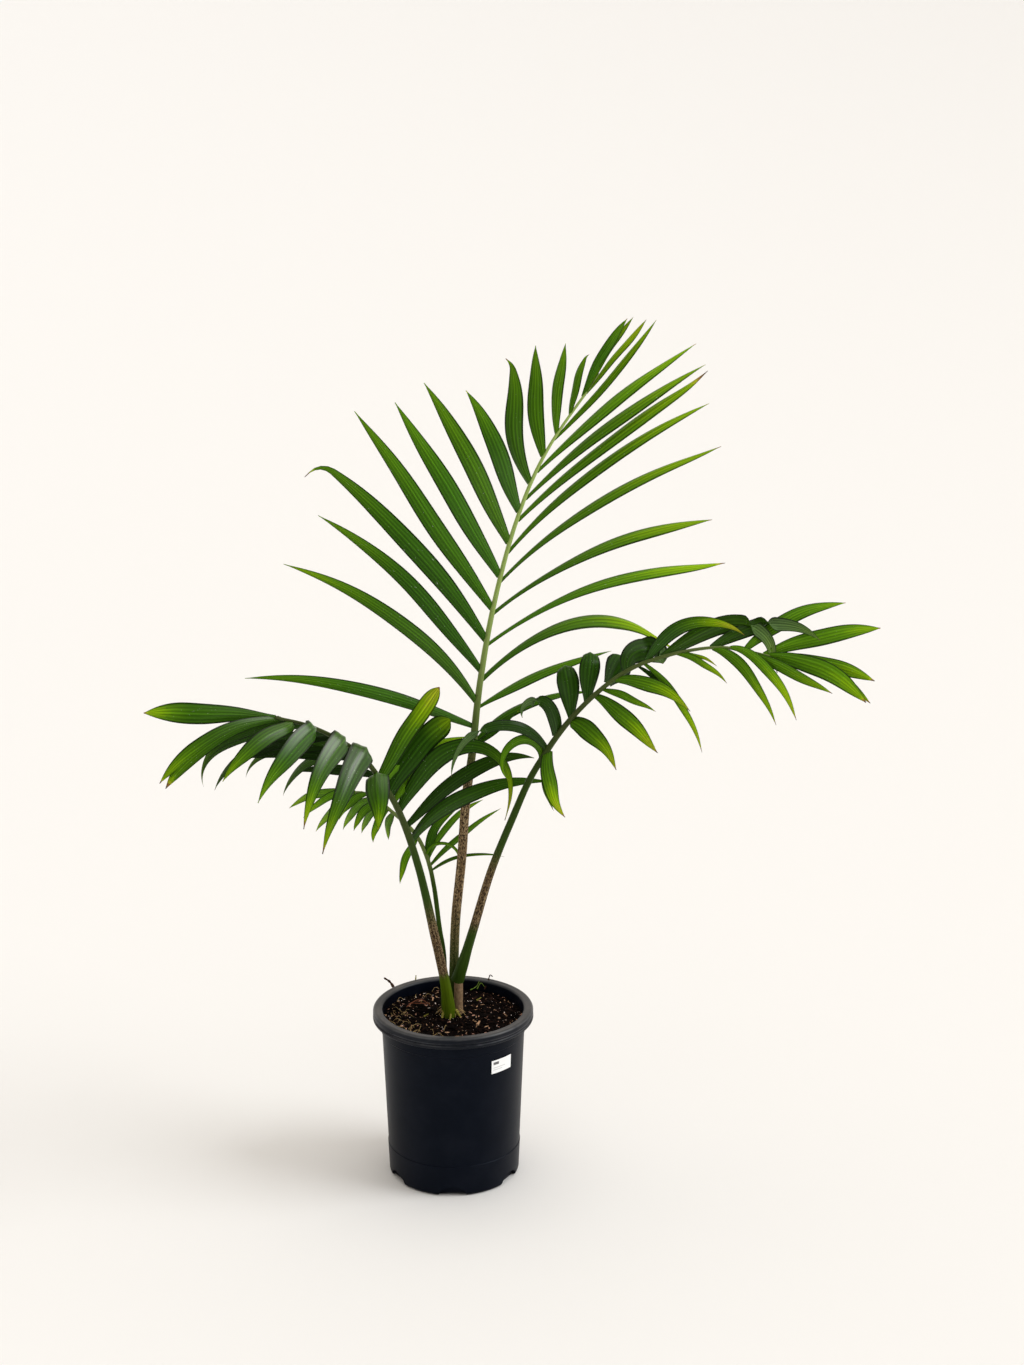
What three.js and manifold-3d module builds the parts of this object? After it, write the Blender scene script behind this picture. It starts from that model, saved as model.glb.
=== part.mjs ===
// A young Chambeyronia oliviformis palm in a round nursery pot: four pinnate fronds on one short stem.
// Millimetres, +Z up. The origin is the middle of the pot's underside, and the front of the plant faces -Y.
import * as THREE from "three";
import { mergeVertices } from "three/addons/utils/BufferGeometryUtils.js";
import Module from "manifold-3d";

const wasm = await Module();
wasm.setup();

// Gap between two pieces that touch
const clearance = 0.3;

// Pot
const potHeight = 230;
const potWall = 2.5;
const footRadius = 86;
const shoulderRadius = 94.5;
const shoulderHeight = 214;
const lipRadius = 105;
const potFloor = 4;
const floorRadius = 70;
const cornerHeight = 18;
const ringStep = 0.7;
const upperRing = 198;
const lowerRing = 42;
const potSegments = 48;
const notchCount = 6;
const notchWidth = 38;
const notchTopWidth = 26;
const notchHeight = 12;
const notchDepth = 8;

// Potting mix, highest in the middle
const soilEdge = 215;
const soilTop = 220;
const soilTopRadius = 26;
const soilGap = 0.6;

// Label on the wall, in degrees from the front towards +X
const labelFrom = 32;
const labelTo = 55;
const labelBottom = 170;
const labelHeight = 17;
const labelThickness = 0.4;

// Stem base: a low flared heel on the potting mix, and the stub of an old leaf base on it
const heelCentre = [-3, 3];
const heelRadius = 20;
const heelTopRadius = 18;
const heelTop = 224;
const stubRadius = 5.8;
const stubTop = 262;
const stubPath = [[6, 3, 222], [7, 3, 240], [7, 3, stubTop]];

// Each stalk runs from its foot through its frond to the frond's tip. radius: foot to tip, evenly along it.
// foot: height of the flat foot. petiole: share of the stalk below the leaflets.
// bend: where the frond is parted.
const stalks = {
  main: {
    path: [[-1, 14, 220], [1, 13, 280], [4, 7, 350], [12, 6, 430], [18, 8, 510], [26, 12, 570],
      [37, 24, 666], [55, 40, 764], [83, 58, 865], [121, 78, 950], [187, 108, 1042]],
    radius: [5, 6, 5.8, 5.2, 4.5, 3.6, 2.8, 1.6],
    foot: heelTop + clearance,
    petiole: 0.505,
  },
  right: {
    path: [[6, 5, 255], [15, -5, 298], [27, -14, 342], [50, -27, 426], [77, -43, 502], [105, -58, 571],
      [150, -78, 645], [205, -98, 703], [257, -115, 732], [324, -135, 749], [388, -150, 741]],
    radius: [5.8, 6.2, 6, 5, 4, 3.4, 2.6, 1.6],
    foot: stubTop + clearance,
    petiole: 0.505,
    bend: 0.76,
  },
  left: {
    path: [[-5, -7, 220], [-10, -14, 270], [-23, -27, 343], [-40, -46, 435], [-59, -70, 510],
      [-79, -95, 562], [-110, -125, 616], [-157, -162, 657], [-200, -195, 680]],
    radius: [8.5, 7.4, 6.4, 5.4, 4.6, 3.6, 2],
    foot: heelTop + clearance,
    petiole: 0.42,
    bend: 0.7,
  },
  small: {
    path: [[-13, 9, 220], [-12, 14, 290], [-18, 24, 331], [-25, 38, 382], [-34, 50, 417],
      [-50, 66, 445], [-81, 90, 467], [-115, 114, 484], [-152, 136, 479]],
    radius: [3.6, 3.2, 2.8, 2.4, 1.4],
    foot: heelTop + clearance,
    petiole: 0.42,
  },
};

// Ranks of leaflets, one value a leaflet from the lowest up, or one value for all.
// at: place along the stalk. angle: heading at the root in the front view, 0 to the right and 90 up.
// depth: heading away from the viewer. turn and depthTurn: what both gain by the tip, as share ** ease.
// roll: how far the blade is turned from facing the viewer. All in degrees and millimetres.
// start: share of the width at the root. taper: how late the blade narrows to its tip.
const ranks = {
  mainLeft: {
    stalk: "main",
    at: [0.54, 0.57, 0.61, 0.65, 0.69, 0.73, 0.77, 0.81, 0.85, 0.89, 0.92, 0.945, 0.97],
    angle: [147, 118, 118, 118, 118, 116, 110, 104, 109, 102, 94, 85, 70],
    turn: [26, 38, 24, 20, 7, 3, 10, 15, -22, -16, -18, -20, -17],
    length: [322, 345, 327, 330, 345, 293, 262, 194, 181, 154, 124, 86, 114],
    width: [17, 20, 20, 24, 24, 25, 24, 24, 24, 21, 15, 12, 14],
    depth: [-24, -24, -24, -24, -24, -24, -24, -24, -20, -18, -15, -10, -6],
    roll: 12,
  },
  mainRight: {
    stalk: "main",
    at: [0.512, 0.52, 0.565, 0.6, 0.645, 0.685, 0.725, 0.76, 0.8, 0.83, 0.87, 0.915, 0.975],
    angle: [41, 45, 29, 39, 33, 36, 43, 47, 42, 43, 44, 45, 53],
    turn: [-10, -59, -24, -88, -41, -36, -33, -29, -17, -20, -16, 6, -6],
    length: [75, 188, 200, 300, 360, 337, 360, 345, 330, 308, 271, 200, 119],
    width: [12, 17, 17, 20, 19, 20, 21, 21, 21, 20, 19, 13, 9],
    depth: [16, 24, 24, 24, 24, 24, 24, 24, 24, 24, 20, 14, 8],
    ease: [1, 1, 1, 1.5, 1, 1, 1, 1, 1, 1, 1, 1, 1],
    roll: -52,
  },
  rightFar: {
    stalk: "right",
    at: [0.52, 0.54, 0.565, 0.6, 0.635, 0.67, 0.715, 0.785, 0.81, 0.885, 0.945, 0.98],
    angle: [66, 110, 43, 97, 85, 80, 75, 57, 28, 34, 44, 15],
    turn: [205, 159, 209, 0, 0, 0, 0, -116, -123, -88, -56, -11],
    length: [92, 175, 106, 104, 98, 95, 92, 178, 238, 197, 158, 145],
    width: [14, 13, 20, 26, 25, 26, 26, 17, 19, 18, 17, 21],
    depth: [-15, -14, -10, 20, 28, 50, 50, 36, 32, 32, 24, 12],
    depthTurn: [-10, -10, -15, 85, 77, 55, 55, 0, 0, 0, 0, 0],
    ease: [1, 1, 1, 1, 1, 1, 1, 1, 1.5, 1, 1, 1],
    roll: [20, 50, 20, 0, 0, 0, 0, 40, 50, 50, 30, 20],
    taper: [2, 2, 2, 3, 3, 3, 3, 2, 2, 2, 2, 3.5],
  },
  rightNear: {
    stalk: "right",
    at: [0.54, 0.595, 0.65, 0.665, 0.69, 0.77, 0.835, 0.89, 0.935, 0.955, 0.985, 0.995],
    angle: [258, 348, 371, 358, 367, 313, 346, 330, 338, 344, 365, 361],
    turn: [56, -63, -85, -15, -36, -22, -22, -32, -51, -8, -50, -23],
    length: [96, 98, 130, 88, 121, 136, 78, 128, 116, 118, 136, 124],
    width: [18, 24, 22, 10, 16, 9, 9, 14, 12, 11, 22, 15],
    depth: [-45, -50, -50, -45, -45, -40, -45, -42, -40, -38, -30, -14],
    depthTurn: [10, 15, 15, 5, 5, 5, 0, 10, 5, 0, 5, 0],
    roll: 15,
    taper: [2, 2, 2, 2, 2, 2, 2, 2, 2, 2, 3.5, 2.5],
  },
  leftNear: {
    stalk: "left",
    at: [0.66, 0.745, 0.81, 0.885, 0.945, 0.98, 0.998],
    angle: [286, 240, 230, 202, 130, 150, 166],
    turn: [-19, 11, 25, 38, 118, 79, 14],
    length: [67, 134, 123, 119, 135, 171, 154],
    width: [27, 36, 33, 26, 20, 18, 22],
    depth: [-55, -55, -55, -55, -40, -40, -15],
    depthTurn: [35, 35, 35, 35, 10, 10, 0],
    ease: [0.5, 0.5, 0.5, 0.5, 0.5, 0.5, 1],
    roll: [0, 0, 0, 0, 10, 10, 10],
    start: [0.8, 0.8, 0.8, 0.75, 0.5, 0.4, 0.4],
    taper: [2, 2, 2, 2, 2, 2, 3.5],
  },
  leftFar: {
    stalk: "left",
    at: [0.75, 0.85, 0.92, 0.965],
    angle: [202, 200, 207, 203],
    turn: [43, 43, 39, 58],
    length: [201, 195, 220, 222],
    width: 20,
    depth: [42, 40, 38, 36],
    roll: 60,
  },
  leftUpper: {
    stalk: "left",
    at: [0.44, 0.48, 0.53, 0.583, 0.6, 0.65],
    angle: [43, 40, 66, 66, 37, 54],
    turn: [-65, -66, -204, -36, -17, 4],
    length: [228, 195, 250, 132, 123, 140],
    width: [24, 19, 22, 33, 14, 19],
    depth: [21, 21, 12, 22, 38, 24],
    depthTurn: [0, 0, -16, 0, 0, 0],
    ease: [1.2, 2, 1.6, 1, 1, 1],
    roll: [30, 30, 30, 0, 20, 0],
    taper: [2, 2, 2, 5, 2, 5],
  },
  smallRight: {
    stalk: "small",
    at: [0.437, 0.459, 0.479, 0.488, 0.505, 0.607],
    angle: [42, 43, 97, 68, 85, 228],
    turn: [-50, -20, -75, -53, -190, 38],
    length: [107, 126, 86, 117, 70, 67],
    width: [9, 11, 14, 11, 9, 11],
    depth: [-14, 28, 20, 32, -5, -30],
    roll: 30,
  },
  smallLeft: {
    stalk: "small",
    at: [0.745, 0.77, 0.795, 0.815, 0.845, 0.875, 0.9, 0.93, 0.955],
    angle: [241, 211, 219, 186, 217, 175, 216, 160, 190],
    turn: [38, 61, 45, 69, 40, 75, 31, 65, 42],
    length: [78, 55, 100, 60, 121, 60, 160, 94, 150],
    width: [12, 11, 12, 12, 12, 12, 13, 12, 12],
    depth: [42, -42, 42, -42, 42, -42, 42, -42, 42],
    roll: 20,
  },
};

const leafletThinness = 80;
const leafletSteps = 5;
const leafletTip = 0.05;
const bladeWidest = 0.42;
const bendSteps = 40;

const colors = {
  pot: { color: 0x17191d, roughness: 0.62 },
  soil: { color: 0x2e1f17, roughness: 0.95 },
  label: { color: 0xf2f2ee, roughness: 0.6 },
  bark: { color: 0x8a6a48, roughness: 0.85 },
  petiole: { color: 0x4c4a2a, roughness: 0.6 },
  leaf: { color: 0x2f6a24, roughness: 0.5 },
};

const part = new THREE.Group();

function addMesh(name, geometry, look) {
  const mesh = new THREE.Mesh(geometry, new THREE.MeshStandardMaterial({ ...colors[look], metalness: 0 }));
  mesh.name = name;
  part.add(mesh);
  return mesh;
}

function toSolid(geometry) {
  const plain = geometry.clone();
  plain.deleteAttribute("normal");
  plain.deleteAttribute("uv");
  const merged = mergeVertices(plain, 1e-3);
  return new wasm.Manifold(new wasm.Mesh({
    numProp: 3,
    vertProperties: merged.attributes.position.array,
    triVerts: new Uint32Array(merged.index.array),
  }));
}

function toGeometry(solid) {
  const { vertProperties, triVerts } = solid.getMesh();
  return new THREE.BufferGeometry()
    .setAttribute("position", new THREE.BufferAttribute(vertProperties, 3))
    .setIndex(new THREE.BufferAttribute(triVerts, 1));
}

// One value of an evenly spaced row of values, at a share of its length
function alongRow(row, share) {
  const place = THREE.MathUtils.clamp(share, 0, 1) * (row.length - 1);
  const low = Math.min(Math.floor(place), row.length - 2);
  return THREE.MathUtils.lerp(row[low], row[low + 1], place - low);
}

const toVector = (point) => new THREE.Vector3(...point);

// Outer radius of the pot's wall between its foot and its shoulder
const wallAt = (z) => THREE.MathUtils.mapLinear(z, 0, shoulderHeight, footRadius, shoulderRadius);

// An outline of [radius, height] points turned about Z
function turned(outline, segments) {
  const profile = outline.map(([r, z]) => new THREE.Vector2(r, z));
  return new THREE.LatheGeometry(profile, segments).rotateX(Math.PI / 2);
}

function stalkCurve(path) {
  return new THREE.CatmullRomCurve3(path.map(toVector), false, "catmullrom", 0.5);
}

// Sweeps an oval or diamond section. station(share) gives the centre, both half axes and their half sizes.
function sweep(station, sides, steps) {
  const geometry = new THREE.CylinderGeometry(1, 1, 1, sides, steps);
  const position = geometry.attributes.position;
  for (let i = 0; i < position.count; i++) {
    const { centre, across, through, width, thickness } = station(position.getY(i) + 0.5);
    const point = centre.clone()
      .addScaledVector(across, position.getX(i) * width)
      .addScaledVector(through, position.getZ(i) * thickness);
    position.setXYZ(i, point.x, point.y, point.z);
  }
  return geometry;
}

// A round limb along a stretch of a curve
function limb(curve, from, to, radius, sides, steps) {
  const away = new THREE.Vector3(0, 1, 0);
  return sweep((share) => {
    const t = THREE.MathUtils.lerp(from, to, share);
    const tangent = curve.getTangent(t);
    const across = tangent.clone().cross(away).normalize();
    const through = across.clone().cross(tangent);
    const r = alongRow(radius, t);
    return { centre: curve.getPoint(t), across, through, width: r, thickness: r };
  }, sides, steps);
}

function heading(angle, depth) {
  const a = THREE.MathUtils.degToRad(angle);
  const d = THREE.MathUtils.degToRad(depth);
  return new THREE.Vector3(Math.cos(a) * Math.cos(d), Math.sin(d), Math.sin(a) * Math.cos(d));
}

// Share of a leaflet's width: narrow at the root, widest before the middle, and pointed
function bladeShare(share, start, taper) {
  if (share < bladeWidest) {
    return THREE.MathUtils.lerp(start, 1, Math.sin((share / bladeWidest) * Math.PI / 2));
  }
  const rest = (share - bladeWidest) / (1 - bladeWidest);
  return Math.max(leafletTip, 1 - rest ** taper);
}

// The side to which a blade's width goes, before its roll
function acrossOf(tangent) {
  const away = new THREE.Vector3(0, 1, 0);
  const across = tangent.clone().cross(away);
  return across.lengthSq() < 1e-4 ? new THREE.Vector3(1, 0, 0) : across.normalize();
}

function leaflet(root, { angle, turn, depth, depthTurn, length, width, roll, ease, start, taper }) {
  const centres = [root.clone()];
  const tangents = [heading(angle, depth)];
  for (let i = 1; i <= bendSteps; i++) {
    const gained = ((i - 0.5) / bendSteps) ** ease;
    const step = heading(angle + turn * gained, depth + depthTurn * gained);
    centres.push(centres[i - 1].clone().addScaledVector(step, length / bendSteps));
    tangents.push(step);
  }
  const startAcross = acrossOf(tangents[0]);
  const acrosses = [startAcross];
  for (let i = 1; i <= bendSteps; i++) {
    const kept = acrosses[i - 1].clone().addScaledVector(tangents[i], -acrosses[i - 1].dot(tangents[i]));
    acrosses.push(kept.normalize());
  }
  return sweep((share) => {
    const i = Math.round(share * bendSteps);
    const across = acrosses[i].clone().applyAxisAngle(tangents[i], THREE.MathUtils.degToRad(roll));
    const through = across.clone().cross(tangents[i]);
    const w = (width / 2) * bladeShare(share, start, taper);
    const thickness = Math.min((length / leafletThinness) / 2, w);
    return { centre: centres[i], across, through, width: w, thickness };
  }, 4, leafletSteps);
}

function leafletsOf(stalkName, from, to) {
  const solids = [];
  for (const rank of Object.values(ranks).filter((r) => r.stalk === stalkName)) {
    rank.at.forEach((at, i) => {
      if (at < from || at > to) return;
      const value = (key, fallback) => {
        const v = rank[key] ?? fallback;
        return Array.isArray(v) ? v[i] : v;
      };
      solids.push(toSolid(leaflet(stalks[stalkName].curve.getPoint(at), {
        angle: value("angle"),
        turn: value("turn"),
        depth: value("depth"),
        depthTurn: value("depthTurn", 0),
        length: value("length"),
        width: value("width"),
        roll: value("roll"),
        ease: value("ease", 1),
        start: value("start", 0.35),
        taper: value("taper", 2),
      })));
    });
  }
  return solids;
}

function frond(name, stalkName, from, to) {
  const { curve, radius } = stalks[stalkName];
  const gap = clearance / curve.getLength() / 2;
  const rachis = toSolid(limb(curve, from + gap, to - (to < 1 ? gap : 0), radius, 6, 10));
  const solid = leafletsOf(stalkName, from, to).reduce((sum, blade) => sum.add(blade), rachis);
  addMesh(name, toGeometry(solid), "leaf");
}

function makePot() {
  const outline = [
    [0, 0], [footRadius - 5, 0], [footRadius - 1.5, 1.5], [wallAt(5), 5],
    [wallAt(lowerRing), lowerRing], [wallAt(lowerRing) - ringStep, lowerRing + 1],
    [wallAt(upperRing) - ringStep, upperRing], [wallAt(upperRing) + ringStep, upperRing + 1.5],
    [shoulderRadius, shoulderHeight], [lipRadius - 2, shoulderHeight + 1],
    [lipRadius, shoulderHeight + 4], [lipRadius - 0.5, potHeight - 4], [lipRadius - 4, potHeight],
    [lipRadius - 8, potHeight - 0.5], [shoulderRadius - potWall, shoulderHeight],
    [wallAt(cornerHeight) - potWall, cornerHeight], [floorRadius, potFloor], [0, potFloor],
  ];
  let solid = toSolid(turned(outline, potSegments));
  const arch = new THREE.Shape([
    new THREE.Vector2(-notchWidth / 2, -1),
    new THREE.Vector2(notchWidth / 2, -1),
    new THREE.Vector2(notchWidth / 2 - 1, 1),
    new THREE.Vector2(notchTopWidth / 2, notchHeight),
    new THREE.Vector2(-notchTopWidth / 2, notchHeight),
    new THREE.Vector2(1 - notchWidth / 2, 1),
  ]);
  for (let i = 0; i < notchCount; i++) {
    const cutter = new THREE.ExtrudeGeometry(arch, { depth: notchDepth * 2, bevelEnabled: false })
      .rotateX(Math.PI / 2)
      .translate(0, notchDepth - footRadius, 0)
      .rotateZ((i / notchCount) * Math.PI * 2);
    solid = solid.subtract(toSolid(cutter));
  }
  addMesh("pot", toGeometry(solid), "pot");
}

function makeSoil() {
  const inside = (z) => wallAt(z) - potWall - soilGap;
  const outline = [
    [0, potFloor + clearance], [floorRadius - soilGap, potFloor + clearance],
    [inside(cornerHeight + 1), cornerHeight + 1], [inside(soilEdge), soilEdge],
    [(soilTopRadius + shoulderRadius) / 2, (soilEdge + soilTop) / 2 + 0.5],
    [soilTopRadius, soilTop], [0, soilTop],
  ];
  addMesh("soil", turned(outline, potSegments), "soil");
}

function makeLabel() {
  const geometry = new THREE.BoxGeometry(1, 1, 1, 8, 1, 1);
  const position = geometry.attributes.position;
  for (let i = 0; i < position.count; i++) {
    const azimuth = THREE.MathUtils.degToRad(
      THREE.MathUtils.lerp(labelFrom, labelTo, position.getX(i) + 0.5));
    const z = labelBottom + labelHeight * (position.getY(i) + 0.5);
    const r = wallAt(z) + clearance + labelThickness * (position.getZ(i) + 0.5);
    position.setXYZ(i, r * Math.sin(azimuth), -r * Math.cos(azimuth), z);
  }
  addMesh("label", geometry, "label");
}

function makeStemBase() {
  const foot = soilTop + clearance;
  const outline = [[0, foot], [heelRadius, foot], [heelTopRadius, heelTop], [0, heelTop]];
  const heel = turned(outline, 20).translate(heelCentre[0], heelCentre[1], 0);
  const stub = limb(stalkCurve(stubPath), 0, 1, [stubRadius + 1.5, stubRadius, stubRadius], 12, 4);
  addMesh("stem_base", toGeometry(toSolid(heel).add(toSolid(stub))), "bark");
}

function makePetiole(name, { curve, radius, petiole, foot }) {
  const below = new THREE.BoxGeometry(100, 100, 100).translate(0, 0, foot - 50);
  const solid = toSolid(limb(curve, 0, petiole, radius, 8, 12)).subtract(toSolid(below));
  addMesh("petiole_" + name, toGeometry(solid), "petiole");
}

makePot();
makeSoil();
makeLabel();
makeStemBase();
for (const [name, stalk] of Object.entries(stalks)) {
  stalk.curve = stalkCurve(stalk.path);
  makePetiole(name, stalk);
}
frond("frond_main", "main", stalks.main.petiole, 1);
frond("frond_right_inner", "right", stalks.right.petiole, stalks.right.bend);
frond("frond_right_outer", "right", stalks.right.bend, 1);
frond("frond_left_inner", "left", stalks.left.petiole, stalks.left.bend);
frond("frond_left_outer", "left", stalks.left.bend, 1);
frond("frond_small", "small", stalks.small.petiole, 1);

export default part;
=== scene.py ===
import random
from math import cos, exp, hypot, pi, radians, sin

import bpy
import numpy as np
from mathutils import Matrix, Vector, noise


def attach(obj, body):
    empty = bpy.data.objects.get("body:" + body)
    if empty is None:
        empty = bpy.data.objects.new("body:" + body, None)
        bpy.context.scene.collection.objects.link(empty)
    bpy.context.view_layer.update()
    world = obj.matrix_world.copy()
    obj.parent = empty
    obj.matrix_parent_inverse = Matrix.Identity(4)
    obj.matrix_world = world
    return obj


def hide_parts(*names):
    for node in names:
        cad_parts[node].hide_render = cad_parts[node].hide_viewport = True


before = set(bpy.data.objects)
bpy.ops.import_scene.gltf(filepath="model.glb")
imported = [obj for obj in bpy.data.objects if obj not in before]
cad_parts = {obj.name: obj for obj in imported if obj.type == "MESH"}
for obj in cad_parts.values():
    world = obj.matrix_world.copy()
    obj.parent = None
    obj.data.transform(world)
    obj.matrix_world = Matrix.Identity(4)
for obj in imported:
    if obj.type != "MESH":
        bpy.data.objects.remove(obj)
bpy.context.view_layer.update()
print("frame loaded:", len(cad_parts), "nodes")


# Methods of a Wire: one operation on it and another value, in either order, or on it alone
def direct(operation):
    return lambda self, other: self.math(operation, self, other)


def reflected(operation):
    return lambda self, other: self.math(operation, other, self)


def alone(operation):
    return lambda self: self.math(operation, self)


class Wire:
    # One output of a node tree, which takes part in plain arithmetic
    __add__, __radd__ = direct("ADD"), reflected("ADD")
    __sub__, __rsub__ = direct("SUBTRACT"), reflected("SUBTRACT")
    __mul__, __rmul__ = direct("MULTIPLY"), reflected("MULTIPLY")
    atMost, atLeast = direct("MINIMUM"), direct("MAXIMUM")
    above, below = direct("GREATER_THAN"), direct("LESS_THAN")
    sine, cosine, root, size = alone("SINE"), alone("COSINE"), alone("SQRT"), alone("ABSOLUTE")

    def __init__(self, graph, socket):
        self.graph = graph
        self.socket = socket

    def __neg__(self):
        return self * -1

    def math(self, operation, *values):
        return self.graph.node("ShaderNodeMath", {"operation": operation}, dict(enumerate(values)))

    def clamped(self):
        return self.atLeast(0).atMost(1)

    # 0 below low, 1 above high, smooth between
    def ramp(self, low, high):
        values = {"Value": self, "From Min": low, "From Max": high}
        return self.graph.node("ShaderNodeMapRange", {"interpolation_type": "SMOOTHSTEP"}, values)


class Graph:
    # Builds a node tree: each call adds one node and gives back one of its outputs

    def __init__(self, tree):
        self.tree = tree

    def node(self, kind, settings=None, values=None, out=0):
        made = self.tree.nodes.new(kind)
        for name, value in (settings or {}).items():
            setattr(made, name, value)
        for key, value in (values or {}).items():
            socket = self.find(made.inputs, key)
            if isinstance(value, Wire):
                self.tree.links.new(value.socket, socket)
            else:
                plain = socket.type == "RGBA" and len(value) == 3
                socket.default_value = (*value, 1) if plain else value
        return None if out is None else Wire(self, self.find(made.outputs, out))

    def find(self, sockets, key):
        matches = [socket for socket in sockets if socket.identifier == key]
        return matches[0] if matches else sockets[key]

    def attribute(self, name, out="Fac"):
        return self.node("ShaderNodeAttribute", {"attribute_name": name}, out=out)

    def place(self):
        return self.node("ShaderNodeTexCoord", out="Object")

    def part(self, vector, axis):
        return self.node("ShaderNodeSeparateXYZ", {}, {0: vector}, axis)

    def joined(self, x, y, z):
        return self.node("ShaderNodeCombineXYZ", {}, {0: x, 1: y, 2: z})

    def mixed(self, share, first, second):
        values = {"Factor_Float": share, "A_Color": first, "B_Color": second}
        return self.node("ShaderNodeMix", {"data_type": "RGBA"}, values, "Result_Color")

    def vector(self, operation, first, second):
        return self.node("ShaderNodeVectorMath", {"operation": operation}, {0: first, 1: second})

    def scaled(self, vector, amount):
        return self.node("ShaderNodeVectorMath", {"operation": "SCALE"}, {0: vector, "Scale": amount})

    def grain(self, place, scale, detail=2, roughness=0.5):
        values = {"Vector": place, "Scale": scale, "Detail": detail, "Roughness": roughness}
        return self.node("ShaderNodeTexNoise", {}, values)

    # Grain on a stalk, around it and along it
    def barkGrain(self, ring, around, reach, along, detail=2, roughness=0.5):
        place = self.vector("ADD", self.scaled(ring, around), self.joined(0, 0, reach * along))
        return self.grain(place, 1, detail, roughness)

    def geo(self, kind, values=None, settings=None, out=0):
        return self.node("GeometryNode" + kind, settings, values, out)

    def named(self, label, kind="FLOAT"):
        return self.geo("InputNamedAttribute", {"Name": label}, {"data_type": kind})

    def stored(self, geometry, label, value, kind="FLOAT"):
        values = {"Geometry": geometry, "Name": label, "Value": value}
        return self.geo("StoreNamedAttribute", values, {"data_type": kind, "domain": "POINT"})

    def ring(self, sides):
        return self.geo("CurvePrimitiveCircle", {"Resolution": sides, "Radius": 1})

    # Sweeps a ring along lines, as wide as the scale says at each point
    def swept(self, lines, ring, scale):
        values = {"Curve": lines, "Profile Curve": ring, "Scale": scale, "Fill Caps": True}
        return self.geo("CurveToMesh", values)

    def pushed(self, mesh, offset, inputs):
        mesh = self.geo("SetPosition", {"Geometry": mesh, "Offset": offset})
        return self.finished(self.geo("SetShadeSmooth", {"Geometry": mesh}), inputs)

    def finished(self, mesh, inputs):
        mesh = self.geo("RealizeInstances", {"Geometry": mesh})
        return self.geo("SetMaterial", {"Geometry": mesh, "Material": inputs["Material"]})


# A material from paint(graph), which gives back the sockets of the Principled shader
def makeMaterial(name, paint):
    material = bpy.data.materials.new(name)
    material.use_nodes = True
    material.node_tree.nodes.clear()
    graph = Graph(material.node_tree)
    sockets = paint(graph)
    if "bump" in sockets:
        height, distance = sockets.pop("bump")
        values = {"Height": height, "Distance": distance, "Strength": 1}
        sockets["Normal"] = graph.node("ShaderNodeBump", {}, values)
    shader = graph.node("ShaderNodeBsdfPrincipled", {}, sockets)
    graph.node("ShaderNodeOutputMaterial", {}, {"Surface": shader}, None)
    return material


# A Geometry Nodes tree with named inputs for its sizes, and a material
def makeTree(name, sizes, build):
    tree = bpy.data.node_groups.new(name, "GeometryNodeTree")

    def addSocket(label, kind, way="INPUT"):
        return tree.interface.new_socket(name=label, in_out=way, socket_type="NodeSocket" + kind)

    addSocket("Geometry", "Geometry", "OUTPUT")
    addSocket("Geometry", "Geometry")
    for label, value in sizes.items():
        addSocket(label, "Int" if isinstance(value, int) else "Float").default_value = value
    addSocket("Material", "Material")
    graph = Graph(tree)
    entry = tree.nodes.new("NodeGroupInput")
    inputs = {s.name: Wire(graph, s) for s in entry.outputs if s.name}
    graph.node("NodeGroupOutput", {}, {0: build(graph, inputs)}, None)
    return tree


# Runs a tree on a mesh, and gives back a plain mesh object
def grown(name, mesh, tree, values):
    source = linked("source", mesh)
    modifier = source.modifiers.new("grow", "NODES")
    modifier.node_group = tree
    identifiers = {s.name: s.identifier for s in tree.interface.items_tree if s.in_out == "INPUT"}
    for label, value in values.items():
        modifier[identifiers[label]] = value
    made = evaluatedMesh(source)
    bpy.data.objects.remove(source)
    bpy.data.meshes.remove(mesh)
    made.name = name
    return linked(name, made)


def evaluatedMesh(source):
    depsgraph = bpy.context.evaluated_depsgraph_get()
    return bpy.data.meshes.new_from_object(source.evaluated_get(depsgraph), depsgraph=depsgraph)


def linked(name, data):
    made = bpy.data.objects.new(name, data)
    bpy.context.scene.collection.objects.link(made)
    return made


# A mesh with named attributes of its points, from rows of numbers or vectors
def makeMesh(name, vertices, edges, faces, rows=None):
    mesh = bpy.data.meshes.new(name)
    mesh.from_pydata([tuple(v) for v in vertices], edges, faces)
    for label, values in (rows or {}).items():
        values = np.asarray(values, dtype=np.float32)
        plain = values.ndim == 1
        attribute = mesh.attributes.new(label, "FLOAT" if plain else "FLOAT_VECTOR", "POINT")
        attribute.data.foreach_set("value" if plain else "vector", values.ravel())
    return mesh


# The edges of a row of points that starts at this number
def chain(first, count):
    return [(i, i + 1) for i in range(first, first + count - 1)]


# Rides on the pot's body, and stands for these nodes
def settle(piece, slotName, *nodes):
    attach(piece, "root")
    if nodes:
        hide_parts(*nodes)
    return piece


# One material and smooth shading, with edges crisp above this angle
def dress(mesh, material, degrees):
    mesh.materials.clear()
    mesh.materials.append(material)
    mesh.polygons.foreach_set("use_smooth", [True] * len(mesh.polygons))
    mesh.set_sharp_from_angle(angle=radians(degrees))
    return mesh


camera = dict(
    place=(0.077, -2.68, 1.402), pitch=15.3, focalPixels=2211, imageHeight=1365, sensor=36, reach=100)
studio = dict(
    floorColour=(0.835, 0.848, 0.855), floorRings=24, floorSides=96, riseFrom=3, riseTo=30, riseSlope=0.29,
    frontShare=0.55, skyColour=(1, 0.88, 0.75), skyPower=0.52)
# Soft lamps far away
lamps = dict(
    sideLamp=dict(place=(0.8, -0.12, 0.62), power=1.45, angle=34),
    topLamp=dict(place=(0.1, -0.05, 0.9), power=1, angle=80))


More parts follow.
